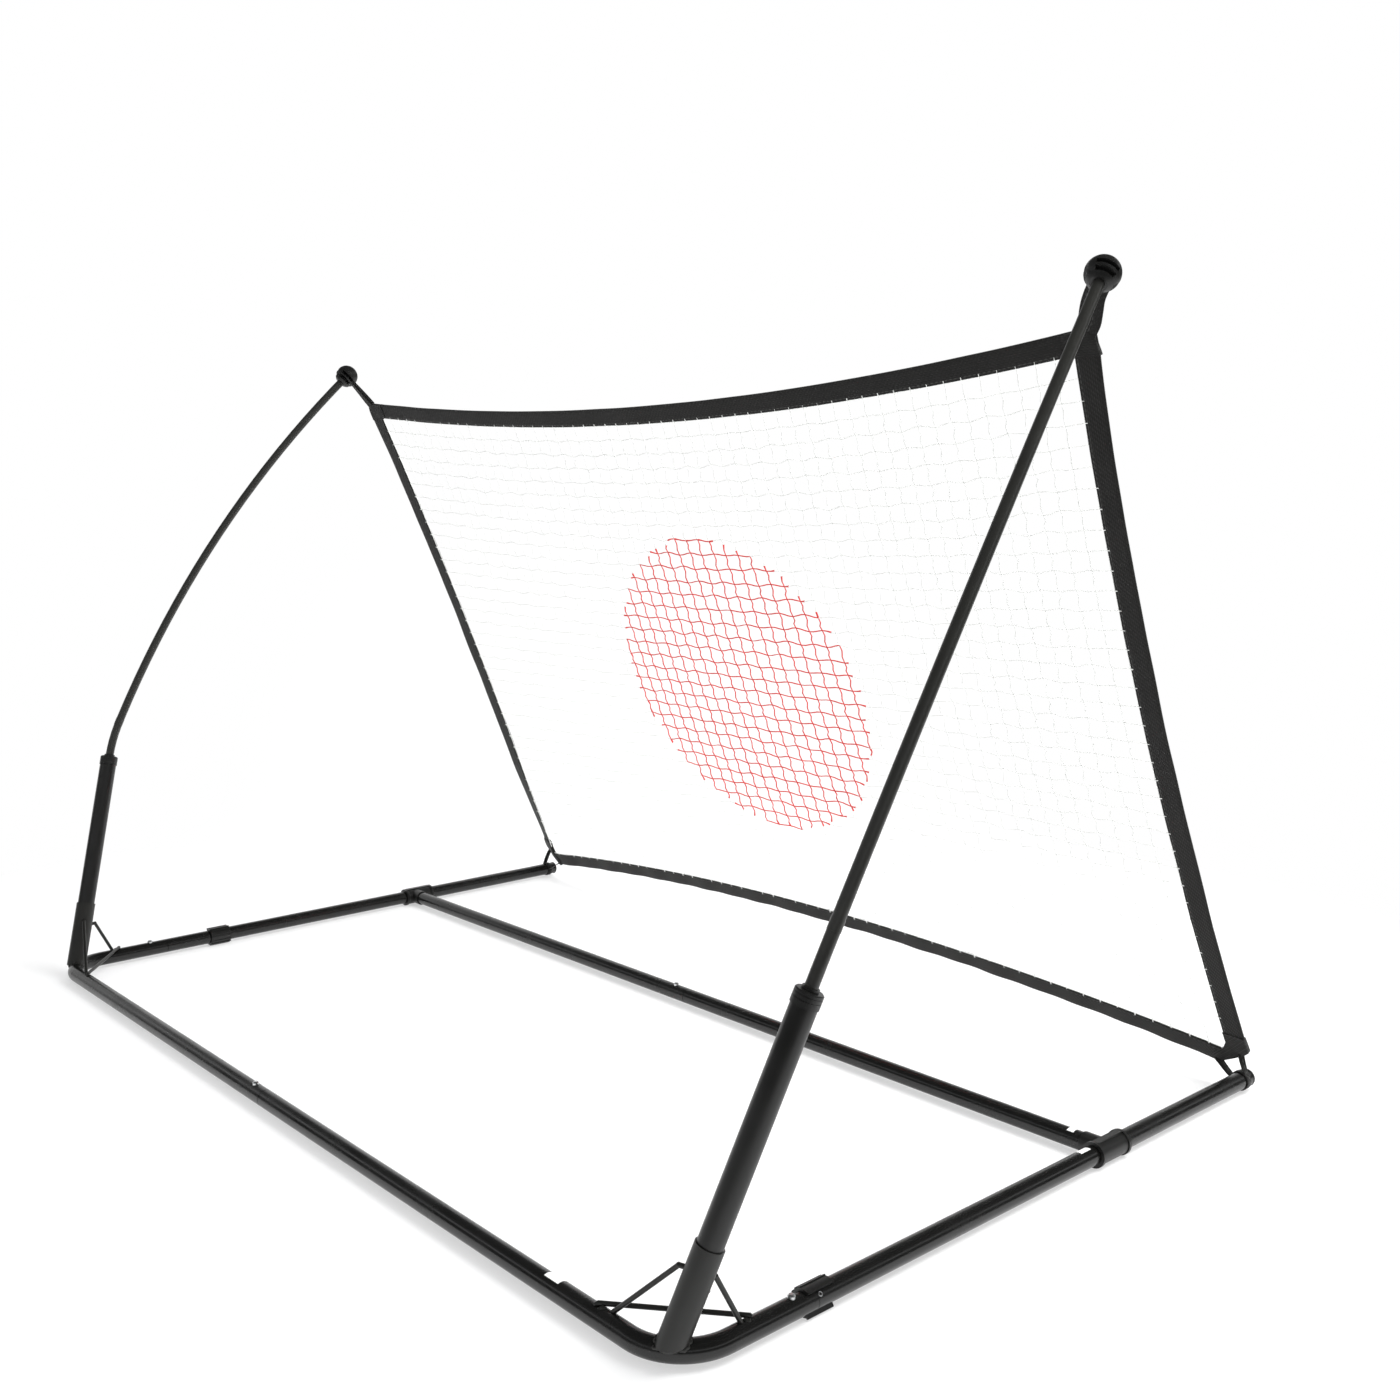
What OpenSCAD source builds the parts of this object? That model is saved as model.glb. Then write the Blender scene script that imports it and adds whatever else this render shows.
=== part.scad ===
// Free-standing golf chipping net: a three-sided base of steel tube lies on the ground,
// two bow rods stand in sockets at its rear corners, and they hold a net that leans back.
// Millimetres. The player stands on the -Y side, +X is to the right, +Z is up.
// The origin is on the ground, under the middle of the net's box.

/* [Base frame] */
// Distance between the axes of the two side tubes
frame_w = 1500; // [1300:10:1700]
// Distance from the rear tube's axis to the open ends of the side tubes
frame_d = 980; // [920:10:1060]
// Outer diameter of the base tubes
tube_od = 22.2; // [20:0.1:25]
// Wall thickness of the base tubes
tube_wall = 1.2; // [1:0.1:1.5]
// Radius of the rear corner bends, at the tube's axis
bend_r = 62; // [50:1:75]
// Distance from the rear tube's axis to the seam of each short leg
leg_len = 168; // [160:1:200]
// Distance of the rear seam to the right of the middle
rear_seam_x = 30; // [0:1:60]

/* [Tube joints] */
// Length of the reduced end that goes into the next tube
spigot_len = 50; // [44:1:60]
// Width of the open groove at a seam
seam_gap = 1; // [0.4:0.1:2]
// Radial clearance of a reduced end in its tube
spigot_fit = 0.1; // [0.05:0.01:0.2]
// Distance from a seam to its snap button
button_inset = 26; // [22:1:30]
// Diameter of a snap button
button_d = 8; // [6:0.1:9]
// How far a snap button stands out of its tube
button_out = 3.6; // [2.5:0.1:4.5]
// Radial clearance of a button in its holes
button_fit = 0.06; // [0.02:0.01:0.1]
// Width of the leaf spring behind a button
spring_w = 7; // [5:0.5:8]
// Thickness of the leaf spring
spring_t = 0.8; // [0.6:0.1:1]
// Length of the leaf spring
spring_len = 38; // [32:1:44]

/* [Cross bar] */
// Distance from the rear tube's axis to the cross bar's axis
bar_y = 655; // [500:5:800]
// Distance of the cross bar's seam to the right of the middle
bar_seam_x = -31; // [-60:1:60]
// Wall of the collars that slide on the side tubes
collar_wall = 2.6; // [2:0.1:3.5]
// Radial clearance of a collar on its tube
collar_fit = 0.08; // [0.03:0.01:0.1]
// Length of a collar behind the bar's axis
collar_back = 23; // [19:1:30]
// Length of a collar in front of the bar's axis
collar_front = 33; // [20:1:40]
// Height of the rims at a collar's ends
rim_h = 1.4; // [0.8:0.1:2]
// Width of the rims at a collar's ends
rim_w = 4; // [2:0.5:6]
// Length of the cup that holds the bar, from the side tube's axis
cup_len = 27; // [22:1:45]

/* [Tube clips] */
// Length of a tube clip
clip_len = 35; // [25:1:45]
// Wall of a tube clip
clip_wall = 2.8; // [2:0.1:3.5]
// Opening angle of a tube clip's mouth
clip_mouth = 116; // [100:2:130]
// Distance from the left clip to the snap button behind it
clip_left_gap = 10.5; // [4:0.5:200]
// Distance from the right clip to the snap button behind it
clip_right_gap = 98.5; // [40:0.5:200]

/* [Poles] */
// Place of a pole round its corner bend, in degrees from the side tube
pole_turn = 52; // [40:1:60]
// Distance from the bend's axis out to the pole's
pole_shift = 2.6; // [0:0.1:5]
// Lean of a pole away from the middle, in degrees
pole_lean_out = 12.7; // [8:0.1:15]
// Lean of a pole towards the player, in degrees
pole_lean_front = 16.9; // [10:0.1:20]
// Outer diameter of a pole socket
socket_od = 28.6; // [28.2:0.1:31]
// Length of a pole socket along the pole, from the base tube's axis
socket_top = 104; // [90:1:140]
// Depth at which a sleeve stands in its socket, from the base tube's axis
socket_floor = 22; // [19:1:30]
// Outer diameter of a pole sleeve
sleeve_od = 25.4; // [24:0.1:26]
// Wall of a pole sleeve
sleeve_wall = 1.2; // [1:0.1:1.6]
// Distance along the pole from the base tube's axis to the top of the sleeve's cap
sleeve_top = 347; // [300:1:400]
// Height of the sleeve's cap
ferrule_h = 14; // [10:1:20]
// Diameter of a bow rod
rod_d = 12.7; // [10:0.1:14]
// Wall of the ferrule that joins a rod's two lengths
ferrule_wall = 0.3; // [0.2:0.05:0.8]
// Length of a bow rod inside its sleeve
rod_in = 120; // [80:1:150]
// Bend radius of a bow rod just above its sleeve
bow_low_r = 262; // [200:1:600]
// Angle through which a bow rod bends there
bow_low_angle = 13.2; // [8:0.1:26]
// Bend radius of the rest of a bow rod
bow_top_r = 1900; // [1500:50:4000]
// Angle through which the rest of a bow rod bends
bow_top_angle = 22; // [9:0.1:25]
// Turn of the bending plane about the pole, from straight away from the middle
bow_turn = 72; // [60:1:80]
// Diameter of the wires that brace a rear corner
brace_d = 5; // [4:0.1:6]
// Height above the base tube's axis at which the rear brace leaves its socket
brace_rear_z = 74; // [50:1:85]
// Height above the base tube's axis at which the front brace leaves its socket
brace_front_z = 63; // [50:1:85]
// Length of a brace's level stub outside its socket
brace_stub = 7; // [4:1:20]
// Distance from a corner to the foot of its rear brace
brace_rear_x = 101; // [90:1:130]
// Distance from a corner to the foot of its front brace
brace_front_y = 84; // [75:1:105]
// Distance from a rear brace's foot to the tie rod's end
tie_rear_gap = 7; // [4:1:20]
// Distance from a front brace's foot to the tie rod's end
tie_front_gap = 6; // [4:1:20]

/* [Pole tips] */
// Diameter of a tip cap
cap_d = 38; // [32:1:42]
// Height of the slots between a tip cap's fins
cap_slot_h = 5; // [3:0.5:6]
// Thickness of a tip cap's fins
cap_fin_t = 2.5; // [1.5:0.5:4]
// Number of windows round a tip cap, with smooth cheeks between them
cap_windows = 3; // [2:1:4]
// Width of a window, in degrees
cap_window_a = 82; // [60:1:88]
// Turn of the windows about the rod, from the side that it bends to
cap_turn = 68; // [0:1:119]
// Width of the straps that hold the net
strap_w = 14; // [10:1:20]
// Thickness of the straps
strap_t = 1.8; // [1.2:0.1:2.5]

/* [Net] */
// Lean of the net away from the player, in degrees
net_lean = 23.4; // [18:0.1:28]
// Height of the net plane's foot above the side tubes' axes
net_foot_z = 5; // [0:1:10]
// Distance from the middle to the net's corners
net_half_w = 745; // [640:5:850]
// Distance up the net plane to the top corners
net_top = 995; // [980:1:1010]
// Distance up the net plane to the bottom corners
net_bottom = 14; // [12:1:20]
// How far the top edge sags in the middle
top_sag = 50; // [20:1:80]
// How far the bottom edge is drawn up in the middle
bottom_rise = 52; // [20:1:80]
// How far the side edges are drawn in
side_draw = 14; // [5:1:40]
// Width of the top band
top_band_w = 24; // [18:1:32]
// Width of the side bands
side_band_w = 28; // [18:1:34]
// Width of the bottom band
bottom_band_w = 20; // [14:1:28]
// Thickness of the bands
band_t = 3; // [2:0.2:4]
// Size of the corner patches
patch_size = 42; // [34:1:55]
// Number of cells of the mesh across
cells_x = 20; // [12:1:22]
// Number of cells of the mesh up
cells_y = 14; // [8:1:16]
// Width of a strand of the mesh
strand_w = 3; // [2:0.5:4]
// Thickness of the mesh
mesh_t = 2.2; // [1.4:0.2:2.6]
// Width of the target disc
target_w = 592; // [400:4:700]
// Height of the target disc, up the net plane
target_h = 533; // [400:4:640]
// Distance of the target's middle to the right of the net's middle
target_x = 13; // [-30:1:30]
// Distance up the net plane to the target's middle
target_v = 475; // [420:5:520]

/* [Hidden] */
$fn = 48;

tube_r = tube_od / 2;
tube_bore_r = tube_r - tube_wall;
spigot_r = tube_bore_r - spigot_fit;
spigot_bore_r = spigot_r - tube_wall;
button_r = button_d / 2;
collar_r = tube_r + collar_fit + collar_wall;
rim_r = collar_r + rim_h;
cap_flange_t = 3;
cap_flange_h = 0.4;
cap_stem = 24;
plug_fit = 0.1;
rear_y = (frame_d + cap_flange_t - tube_r) / 2;
rest_z = rim_r;
over = 1;
seat = 0.3;
brush = 0.05;
left = -1;
right = 1;

// The pole's own axes: z along the pole, x towards the side that the rod bends to
function unit(v) = v / norm(v);
pole_dir = unit([-tan(pole_lean_out), -tan(pole_lean_front), 1]);
pole_level = unit(cross(pole_dir, [0, 0, 1]));
pole_drop = cross(pole_level, pole_dir);
bow_dir = -cos(bow_turn) * pole_drop - sin(bow_turn) * pole_level;
bow_side = cross(pole_dir, bow_dir);
pole_foot = [bend_r, -bend_r, 0] + (bend_r + pole_shift) * [-cos(pole_turn), sin(pole_turn), 0];
socket_r = socket_od / 2;
sleeve_r = sleeve_od / 2;
sleeve_bore_r = sleeve_r - sleeve_wall;
rod_r = rod_d / 2;
brace_r = brace_d / 2;
knuckle = 0.2;
socket_fit = 0.12;
weld_z = 4;
weld_r = 11;

// Where a bow rod ends, in its corner's own axes
function arc_x(r, a) = r * (1 - cos(a));
function arc_z(r, a) = r * sin(a);
low_x = arc_x(bow_low_r, bow_low_angle);
low_z = sleeve_top + arc_z(bow_low_r, bow_low_angle);
bow_angle = bow_low_angle + bow_top_angle;
top_x = arc_x(bow_top_r, bow_top_angle);
top_z = arc_z(bow_top_r, bow_top_angle);
tip_x = low_x + top_x * cos(bow_low_angle) + top_z * sin(bow_low_angle);
tip_z = low_z - top_x * sin(bow_low_angle) + top_z * cos(bow_low_angle);
tip_at = pole_foot + tip_x * bow_dir + tip_z * pole_dir;
tip_dir = sin(bow_angle) * bow_dir + cos(bow_angle) * pole_dir;

// The net plane's own axes: u to the right, v up the slope, w towards the player
net_up = [0, sin(net_lean), cos(net_lean)];
function net_point(u, v) = [u, -frame_d, net_foot_z] + v * net_up;
function at_corner(p) = [p[0] + frame_w / 2, p[1], p[2]];
v_mid = (net_top + net_bottom) / 2;
v_half = (net_top - net_bottom) / 2;
function sq(x) = x * x;
function side_u(v) = net_half_w - side_draw * (1 - sq((v - v_mid) / v_half));
function top_v(u) = net_top - top_sag * (1 - sq(u / net_half_w));
function bottom_v(u) = net_bottom + bottom_rise * (1 - sq(u / net_half_w));
function mix(a, b, s) = a + (b - a) * s;

black_steel = "#1f1e1c";
black_plastic = "#262523";
webbing = "#23211f";
bright_steel = "#c9cbcc";
mesh_white = "#e9eae6";
mesh_red = "#e8564f";

// Everything stands on the ground, centred front to back
module in_frame() {
    translate([0, rear_y, rest_z]) children();
}

// A rear corner's own axes: origin where the rear and side tube axes would cross
module corner(side) {
    in_frame() mirror([side > 0 ? 1 : 0, 0, 0]) translate([-frame_w / 2, 0, 0]) children();
}

module pole_axes() {
    x = bow_dir;
    y = bow_side;
    z = pole_dir;
    p = pole_foot;
    multmatrix([[x[0], y[0], z[0], p[0]], [x[1], y[1], z[1], p[1]], [x[2], y[2], z[2], p[2]]])
        children();
}

module rod_between(a, b, r) {
    v = b - a;
    translate(a) rotate([0, acos(v[2] / norm(v)), atan2(v[1], v[0])]) cylinder(r = r, h = norm(v));
}

// ---- base tubes ----

// A straight, a quarter bend and a short leg, all of one radius
module corner_rod(r, rear_end, leg_end) {
    translate([bend_r, 0, 0]) rotate([0, 90, 0]) cylinder(r = r, h = rear_end - bend_r);
    translate([bend_r, -bend_r, 0]) rotate([0, 0, 90]) rotate_extrude(angle = 90)
        translate([bend_r, 0]) circle(r = r);
    translate([0, -bend_r, 0]) rotate([90, 0, 0]) cylinder(r = r, h = leg_end - bend_r);
}

// The reduced end of a tube, along +Z, with the seam at z = 0
module spigot() {
    translate([0, 0, -seam_gap]) cylinder(r1 = tube_r, r2 = spigot_r, h = seam_gap);
    cylinder(r = spigot_r, h = spigot_len);
}

module spigot_bore() {
    translate([0, 0, -seam_gap - over]) cylinder(r = spigot_bore_r, h = spigot_len + 2 * over + seam_gap);
}

// The hole for a button's shank, from inside the tube up through its top
module button_hole() {
    cylinder(r = button_r + button_fit, h = tube_r + over);
}

module corner_tube(side) {
    rear_end = side == left ? frame_w / 2 + rear_seam_x : frame_w / 2 - rear_seam_x;
    solid_end = side == left ? rear_end - seam_gap : rear_end;
    button_x = side == left ? rear_end + button_inset : rear_end - button_inset;
    color(black_steel) corner(side) difference() {
        union() {
            difference() {
                corner_rod(tube_r, solid_end, leg_len);
                corner_rod(tube_bore_r, side == left ? solid_end - over : rear_end + over, leg_len + over);
            }
            if (side == left) translate([rear_end, 0, 0]) rotate([0, 90, 0]) spigot();
        }
        if (side == left) translate([rear_end, 0, 0]) rotate([0, 90, 0]) spigot_bore();
        translate([button_x, 0, 0]) button_hole();
        translate([0, button_inset - leg_len, 0]) button_hole();
    }
}

module side_tube(side) {
    color(black_steel) corner(side) translate([0, -leg_len, 0]) difference() {
        union() {
            rotate([-90, 0, 0]) spigot();
            difference() {
                translate([0, -seam_gap, 0]) rotate([90, 0, 0])
                    cylinder(r = tube_r, h = frame_d - leg_len - seam_gap);
                translate([0, -seam_gap - over, 0]) rotate([90, 0, 0])
                    cylinder(r = tube_bore_r, h = frame_d - leg_len);
            }
        }
        rotate([-90, 0, 0]) spigot_bore();
        translate([0, button_inset, 0]) button_hole();
    }
}

// Plastic plug: a thin flange outside and a ribbed stem in the tube
module end_cap(side) {
    color(black_plastic) corner(side) translate([0, -frame_d, 0]) rotate([90, 0, 0]) {
        cylinder(r = tube_r + cap_flange_h, h = cap_flange_t / 2);
        translate([0, 0, cap_flange_t / 2])
            cylinder(r1 = tube_r + cap_flange_h, r2 = tube_r - 1, h = cap_flange_t / 2);
        translate([0, 0, -cap_stem]) cylinder(r = tube_bore_r - plug_fit - 1, h = cap_stem);
        for (k = [1:3]) translate([0, 0, -k * cap_stem / 4]) cylinder(r = tube_bore_r - plug_fit, h = 2);
    }
}

// ---- rear corners ----

// The socket stands astride the bend: its foot is cut round the tube and drawn in at the weld
module pole_socket(side) {
    color(black_steel) corner(side) difference() {
        intersection() {
            pole_axes() cylinder(r = socket_r, h = socket_top);
            translate(on_pole(weld_z)) cylinder(r1 = weld_r, r2 = weld_r + socket_top, h = socket_top);
        }
        pole_axes() translate([0, 0, socket_floor]) cylinder(r = sleeve_r + socket_fit, h = socket_top);
        corner_rod(tube_r, 2 * bend_r, 2 * bend_r);
    }
}

function on_pole(z) = pole_foot + pole_dir * (z / pole_dir[2]);

// A wire that runs level out of the socket, turns at its knee and comes down on the tube
module brace(root, foot, stub) {
    way = unit([foot[0] - root[0], foot[1] - root[1], 0]);
    knee = root + way * (socket_r + stub);
    rod_between(root, knee, brace_r);
    translate(knee) sphere(r = brace_r + knuckle);
    rod_between(knee, foot, brace_r);
}

// The wire that ties the two tubes, welded on their tops
module tie(a, b) {
    up = [0, 0, tube_r + brace_r - seat];
    rod_between(a + up, b + up, brace_r);
}

module corner_braces(side) {
    rear_foot = [brace_rear_x, 0, 0];
    front_foot = [0, -brace_front_y, 0];
    color(black_steel) corner(side) {
        difference() {
            brace(on_pole(brace_rear_z), rear_foot, brace_stub);
            corner_rod(tube_r, 3 * bend_r, leg_len);
            pole_axes() cylinder(r = socket_r, h = socket_top);
        }
        difference() {
            brace(on_pole(brace_front_z), front_foot, brace_stub);
            corner_rod(tube_r, 3 * bend_r, leg_len);
            pole_axes() cylinder(r = socket_r, h = socket_top);
        }
        difference() {
            tie(rear_foot + [tie_rear_gap, 0, 0], front_foot - [0, tie_front_gap, 0]);
            corner_rod(tube_r, 3 * bend_r, leg_len);
        }
    }
}

// ---- poles ----

module pole_sleeve(side) {
    color(black_steel) corner(side) pole_axes() translate([0, 0, socket_floor + seat]) difference() {
        cylinder(r = sleeve_r, h = sleeve_top - ferrule_h - socket_floor - 2 * seat);
        translate([0, 0, -over]) cylinder(r = sleeve_bore_r, h = sleeve_top);
    }
}

// The cap on a sleeve: two fine grooves outside, a plug inside, and a ring round the rod
module sleeve_cap(side) {
    cap_r = sleeve_r + 0.9;
    plug = 20;
    chamfer = 1.2;
    ring_h = 3;
    groove_h = 0.8;
    groove_d = 0.5;
    color(black_plastic) corner(side) pole_axes() translate([0, 0, sleeve_top]) difference() {
        union() {
            translate([0, 0, -ferrule_h]) cylinder(r = cap_r, h = ferrule_h - chamfer);
            translate([0, 0, -chamfer]) cylinder(r1 = cap_r, r2 = cap_r - chamfer, h = chamfer);
            translate([0, 0, -ferrule_h - plug]) cylinder(r = sleeve_bore_r - plug_fit, h = plug + over);
            cylinder(r = rod_r + 1.8, h = ring_h);
        }
        for (k = [1, 2]) translate([0, 0, -k * ferrule_h / 3.5]) difference() {
            cylinder(r = cap_r + over, h = groove_h);
            translate([0, 0, -over]) cylinder(r = cap_r - groove_d, h = groove_h + 2 * over);
        }
        translate([0, 0, -ferrule_h - plug - over])
            cylinder(r = rod_r + plug_fit, h = ferrule_h + plug + ring_h + 2 * over);
    }
}

// The bush that carries a rod's lower end in its sleeve
module rod_bush(side) {
    bush_len = 30;
    floor_t = 8;
    color(black_plastic) corner(side) pole_axes() translate([0, 0, sleeve_top - rod_in]) difference() {
        translate([0, 0, -floor_t]) cylinder(r = sleeve_bore_r - plug_fit, h = bush_len);
        cylinder(r = rod_r + plug_fit, h = bush_len);
    }
}

// An arc that starts along z and bends towards x
module bow_arc(r, bow_r, angle) {
    rotate([90, 0, 0]) mirror([1, 0, 0]) translate([-bow_r, 0, 0])
        rotate_extrude(angle = angle, $fn = 360) translate([bow_r, 0]) circle(r = r, $fn = 48);
}

// A rod in two lengths, joined by a thin ferrule where the tighter bend ends
module bow_rod(side) {
    joint_gap = 0.4;
    joint_len = 12;
    color(black_steel) corner(side) pole_axes() {
        translate([0, 0, sleeve_top - rod_in + seat]) cylinder(r = rod_r, h = rod_in - seat);
        translate([0, 0, sleeve_top])
            bow_arc(rod_r, bow_low_r, bow_low_angle - joint_gap / bow_low_r * 180 / PI);
        translate([low_x, 0, low_z]) rotate([0, bow_low_angle, 0]) {
            bow_arc(rod_r, bow_top_r, bow_top_angle);
            translate([0, 0, -joint_len / 2]) cylinder(r = rod_r + ferrule_wall, h = joint_len);
        }
    }
}

// The tip's own axes: z along the end of the rod
module at_tip() {
    pole_axes() translate([tip_x, 0, tip_z]) rotate([0, bow_angle, 0]) children();
}

// A ball with a smooth dome. Below it, fins and slots fill windows between smooth cheeks,
// and a hub holds the rod.
module tip_cap(side) {
    r = cap_d / 2;
    hub_r = rod_r + 2.4;
    rod_fit = 0.15;
    base = r - 2.5;
    color(black_plastic) corner(side) at_tip() difference() {
        sphere(r = r);
        translate([0, 0, -base - r]) cylinder(r = r, h = r);
        translate([0, 0, -r]) cylinder(r = rod_r + rod_fit, h = r + seat);
        for (k = [0:cap_windows - 1]) rotate([0, 0, cap_turn + k * 360 / cap_windows - cap_window_a / 2])
            for (n = [1, 2]) translate([0, 0, -n * cap_slot_h - (n - 1) * cap_fin_t])
                rotate_extrude(angle = cap_window_a) translate([hub_r, 0]) square([r, cap_slot_h]);
    }
}

// ---- net ----

module in_net() {
    in_frame() translate([0, -frame_d, net_foot_z]) rotate([90 - net_lean, 0, 0]) children();
}

module net_side(side) {
    in_net() mirror([side > 0 ? 1 : 0, 0, 0]) children();
}

// The mesh fills the area inside the bands: s runs from -1 at its left edge to 1 at its right,
// t from 0 at its lower edge to 1 at its upper
function mesh_low(u) = bottom_v(u) + bottom_band_w;
function mesh_high(u) = top_v(u) - top_band_w;
function mesh_v(s, t) =
    let (u = s * (net_half_w - side_band_w)) mix(mesh_low(u), mesh_high(u), t);
function mesh_point(s, t) =
    let (v = mesh_v(s, t)) [s * (side_u(v) - side_band_w), v];
across = [for (k = [0:cells_x]) 2 * k / cells_x - 1];
upward = [for (k = [0:cells_y]) k / cells_y];
low_corner = [net_half_w, mesh_low(net_half_w)];
high_corner = [net_half_w, mesh_high(net_half_w)];

function flip(p) = [-p[0], p[1]];
function reversed(list) = [for (k = [len(list) - 1:-1:0]) list[k]];

// Where a row or a column of the mesh crosses the target's edge, found by repeated steps
function disc_u(v) = target_w / 2 * sqrt(max(0, 1 - sq((v - target_v) / (target_h / 2))));
function disc_v(u) = target_h / 2 * sqrt(max(0, 1 - sq((u - target_x) / (target_w / 2))));
function row_cut(t, way, s = 0, n = 12) =
    n == 0 ? s :
    let (p = mesh_point(s, t))
    row_cut(t, way, (target_x + way * disc_u(p[1])) / (side_u(p[1]) - side_band_w), n - 1);
function column_cut(s, way, t = 0.5, n = 12) =
    n == 0 ? t :
    let (p = mesh_point(s, t), u = s * (net_half_w - side_band_w), v = target_v + way * disc_v(p[0]))
    column_cut(s, way, (v - mesh_low(u)) / (mesh_high(u) - mesh_low(u)), n - 1);

// Rows lie on the player's side of the columns, and each strand stops just short of its band
row_end = 1 - seat / net_half_w;
column_end = 2 * seat / (net_top - net_bottom);

module row(t, s0, s1) {
    steps = ceil((s1 - s0) * cells_x / 2);
    line = [for (k = [0:steps]) mesh_point(mix(s0, s1, k / steps), t)];
    rise = [0, strand_w / 2];
    linear_extrude(height = mesh_t / 2)
        polygon(concat([for (p = line) p - rise], reversed([for (p = line) p + rise])));
}

module column(s, t0, t1) {
    steps = ceil((t1 - t0) * cells_y);
    line = [for (k = [0:steps]) mesh_point(s, mix(t0, t1, k / steps))];
    run = [strand_w / 2, 0];
    translate([0, 0, -mesh_t / 2]) linear_extrude(height = mesh_t / 2)
        polygon(concat([for (p = line) p + run], reversed([for (p = line) p - run])));
}

function row_crosses(t) = row_cut(t, 1) - row_cut(t, -1) > 0.02;
function column_crosses(s) = column_cut(s, 1) - column_cut(s, -1) > 0.02;
row_list = [for (k = [1:cells_y - 1]) upward[k]];
column_list = [for (k = [1:cells_x - 1]) across[k]];

module net_mesh() {
    color(mesh_white) in_net() {
        for (t = row_list) if (row_crosses(t)) {
            row(t, -row_end, row_cut(t, -1));
            row(t, row_cut(t, 1), row_end);
        } else row(t, -row_end, row_end);
        for (s = column_list) if (column_crosses(s)) {
            column(s, column_end, column_cut(s, -1));
            column(s, column_cut(s, 1), 1 - column_end);
        } else column(s, column_end, 1 - column_end);
    }
}

module target_mesh() {
    color(mesh_red) in_net() {
        for (t = row_list) if (row_crosses(t)) row(t, row_cut(t, -1), row_cut(t, 1));
        for (s = column_list) if (column_crosses(s)) column(s, column_cut(s, -1), column_cut(s, 1));
    }
}

module band(points) {
    color(webbing) translate([0, 0, -band_t / 2]) linear_extrude(height = band_t) polygon(points);
}

module top_band() {
    outer = [for (s = across) let (u = s * net_half_w) [u, top_v(u)]];
    inner = concat([flip(high_corner)], [for (s = across) mesh_point(s, 1)], [high_corner]);
    in_net() band(concat(outer, reversed(inner)));
}

module bottom_band() {
    outer = [for (s = across) let (u = s * net_half_w) [u, bottom_v(u)]];
    inner = concat([flip(low_corner)], [for (s = across) mesh_point(s, 0)], [low_corner]);
    in_net() band(concat(outer, reversed(inner)));
}

module side_band(side) {
    vs = [for (k = [1:cells_y - 1]) mesh_v(-1, upward[k])];
    outer = concat([flip(low_corner)], [for (v = vs) [-side_u(v), v]], [flip(high_corner)]);
    inner = [for (t = upward) mesh_point(-1, t)];
    net_side(side) band(concat(outer, reversed(inner)));
}

// Folded webbing sewn over a corner, front and back
module patch(points) {
    for (w = [-1, 1]) translate([0, 0, w * (band_t + strap_t) / 2])
        translate([0, 0, -strap_t / 2]) linear_extrude(height = strap_t) polygon(points);
}

module top_patch(side) {
    u = -net_half_w;
    v = net_top;
    color(webbing) net_side(side)
        patch([[u, v - 3], [u + patch_size, v - 8], [u + patch_size * 0.6, v - 26],
            [u + side_band_w - 2, v - patch_size], [u + 2, v - patch_size]]);
}

module foot_patch(side) {
    u = -net_half_w;
    v = net_bottom;
    color(webbing) net_side(side)
        patch([[u, v + 2], [u + patch_size * 0.8, v + 8], [u + side_band_w + 8, v + 24],
            [u + side_band_w - 3, v + patch_size], [u - 1, v + patch_size + 6]]);
}

// ---- straps ----

// A flat strap from a to b whose width lies along the given direction
module strap(a, b, along, w) {
    z = unit(b - a);
    y = unit(cross(z, along));
    x = cross(y, z);
    multmatrix([[x[0], y[0], z[0], a[0]], [x[1], y[1], z[1], a[1]], [x[2], y[2], z[2], a[2]]])
        translate([-w / 2, -strap_t / 2, 0]) cube([w, strap_t, norm(b - a)]);
}

// Two legs of webbing from the tip cap to the net's top corner
module tip_strap(side) {
    net_w = [0, -cos(net_lean), sin(net_lean)];
    knot = at_corner(net_point(-net_half_w + patch_size / 5, net_top - patch_size / 7));
    spread = [strap_w / 3, strap_w / 5, 0];
    color(webbing) difference() {
        corner(side) union() {
            for (s = [-1, 1]) {
                foot = knot + s * net_w * (band_t / 2 + strap_t + seat + strap_t / 2);
                strap(foot, tip_at + s * spread, [1, 0, 0], strap_w);
            }
        }
        corner(side) translate(tip_at) sphere(r = cap_d / 2 + brush);
        net_side(side) translate([-net_half_w, net_top - patch_size, -band_t / 2 - strap_t - seat])
            cube([patch_size, patch_size, band_t + 2 * strap_t + 2 * seat]);
    }
}

// A loop of webbing round the tube's open end, with a leg up to each band
module foot_strap(side) {
    loop_r = tube_r + seat;
    loop_w = 12;
    loop_y = -frame_d + loop_w * 0.8;
    patch_foot = at_corner(net_point(-net_half_w + 9, net_bottom - 1));
    band_foot = at_corner(net_point(-net_half_w + patch_size + 2, net_bottom + 2));
    color(webbing) corner(side) {
        difference() {
            union() {
                translate([0, loop_y + loop_w / 2, 0]) rotate([90, 0, 0])
                    cylinder(r = loop_r + strap_t, h = loop_w);
                strap([patch_foot[0], loop_y, 0], patch_foot, [0, 1, 0], loop_w);
                strap([tube_r * 0.6, loop_y, 0], band_foot, [0, 1, 0], loop_w);
            }
            translate([0, loop_y + loop_w, 0]) rotate([90, 0, 0])
                cylinder(r = loop_r, h = 2 * loop_w);
        }
    }
}

// ---- cross bar ----

bar_end_x = tube_r + collar_fit + collar_wall + 1.5;

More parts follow.
